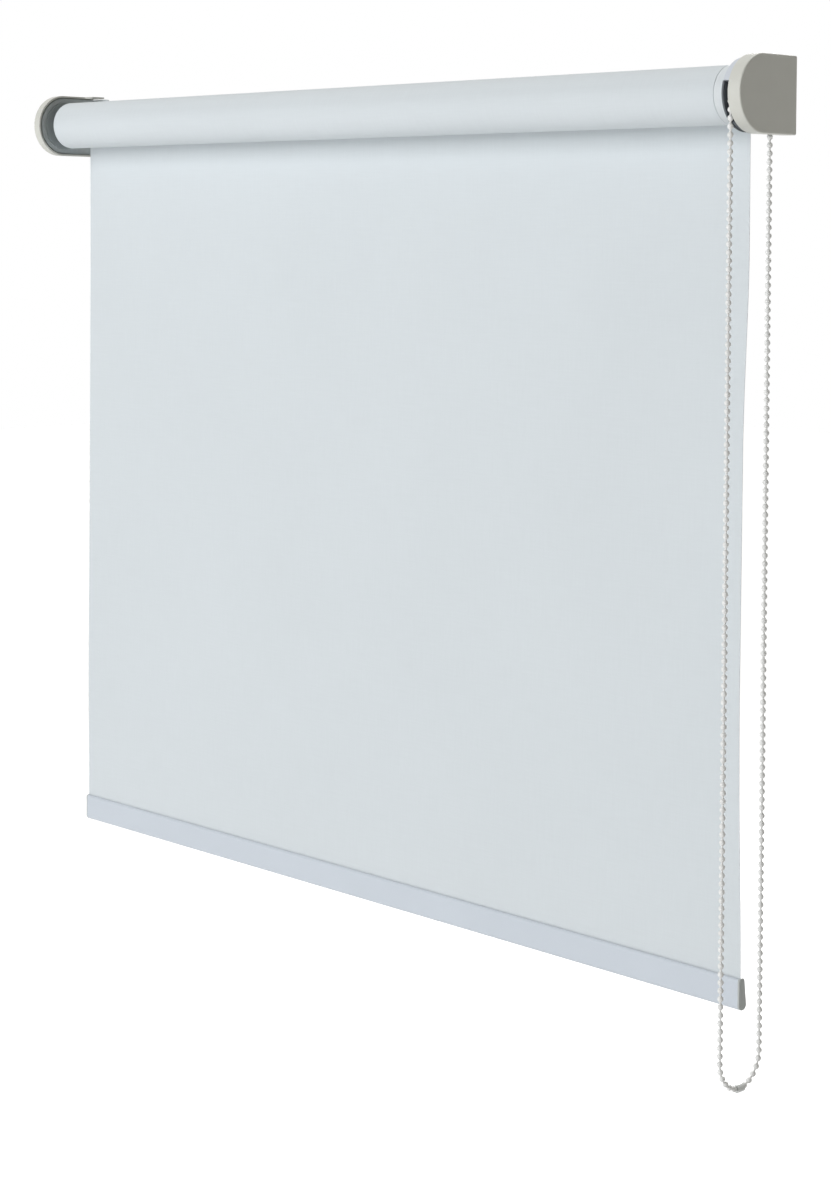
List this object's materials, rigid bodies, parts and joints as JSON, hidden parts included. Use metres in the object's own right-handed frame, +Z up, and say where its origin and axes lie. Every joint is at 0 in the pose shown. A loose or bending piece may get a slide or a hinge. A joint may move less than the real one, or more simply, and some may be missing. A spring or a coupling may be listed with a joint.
{
  "type": "roller blind",
  "caption": "Wall-mounted blackout roller blind: cloth on a tube between two covered brackets, worked by a bead chain and held straight by a bottom bar.",
  "frame": {"origin": "on the wall plane, midway between the two brackets, at the height of the roller's axis: the centre of the wall screw holes", "axes": "+X along the roller to the right seen from the room, +Y into the wall, +Z up"},
  "size_m": [0.85, 0.0677, 0.7547],
  "materials": {
    "bracket_steel": "satin",
    "white_plastic": "satin",
    "dark_plastic": "matte",
    "grey_plastic": "satin",
    "zinc_steel": "satin",
    "spring_steel": "satin",
    "tube_aluminium": "mill",
    "blackout_cloth": "matte, fine weave, coated back",
    "tape": "matte",
    "bar_coating": "satin white powder coat",
    "cap_plastic": "satin",
    "spline_plastic": "matte",
    "chain_cord": "matte",
    "chain_bead": "gloss",
    "clear_plastic": "gloss"
  },
  "bodies": {
    "brackets": {"control_bracket": "bracket_steel", "control_cover": "white_plastic", "clutch_core": "dark_plastic", "core_bolt": "zinc_steel", "hub_washer": "zinc_steel", "hub_screw": "zinc_steel", "clutch_housing": "dark_plastic", "chain_guard": "white_plastic", "idle_bracket": "bracket_steel", "idle_cover": "white_plastic", "idle_socket": "dark_plastic", "fabric_drop": "blackout_cloth", "wheel_cord": "chain_cord", "wheel_beads": "chain_bead", "chain_cord": "chain_cord", "chain_beads": "chain_bead", "chain_connector": "clear_plastic"},
    "chain_wheel_body": {"chain_wheel": "grey_plastic", "wrap_spring_inner": "spring_steel", "wrap_spring_outer": "spring_steel"},
    "roller": {"roller_tube": "tube_aluminium", "fabric_roll": "blackout_cloth", "fixing_tape": "tape", "drive_hub": "dark_plastic", "hub_flange": "white_plastic", "idle_plug": "dark_plastic", "plug_cap": "dark_plastic", "pin_spring": "spring_steel"},
    "spring_pin": {"idle_pin": "grey_plastic"},
    "bottom_bar": {"bottom_rail": "bar_coating", "rail_cap_left": "cap_plastic", "rail_cap_right": "cap_plastic", "fabric_spline": "spline_plastic", "fabric_hem": "blackout_cloth"}
  },
  "joints": [
    {"name": "roller_turn", "type": "hinge", "parent": "brackets", "child": "roller", "pos_m": [0, -0.036, 0], "axis": [1, 0, 0], "range_deg": [-1800, 1620]},
    {"name": "wheel_turn", "type": "hinge", "parent": "brackets", "child": "chain_wheel_body", "pos_m": [0.417, -0.036, 0], "axis": [1, 0, 0], "range_deg": [-1800, 1620], "deforming": ["wheel_cord", "wheel_beads"]},
    {"name": "bar_lift", "type": "slide", "parent": "brackets", "child": "bottom_bar", "axis": [0, 0, 1], "range_m": [-0.676, 0.608], "deforming": ["fabric_drop"]},
    {"name": "pin_press", "type": "slide", "parent": "roller", "child": "spring_pin", "axis": [1, 0, 0], "range_m": [0, 0.008], "stiffness_N_per_m": 700, "springref_m": -0.006, "deforming": ["pin_spring"]}
  ],
  "couplings": [
    {"joint": "wheel_turn", "follows": "roller_turn", "ratio": 1},
    {"joint": "bar_lift", "follows": "roller_turn", "m_per_rad": 0.0215}
  ]
}
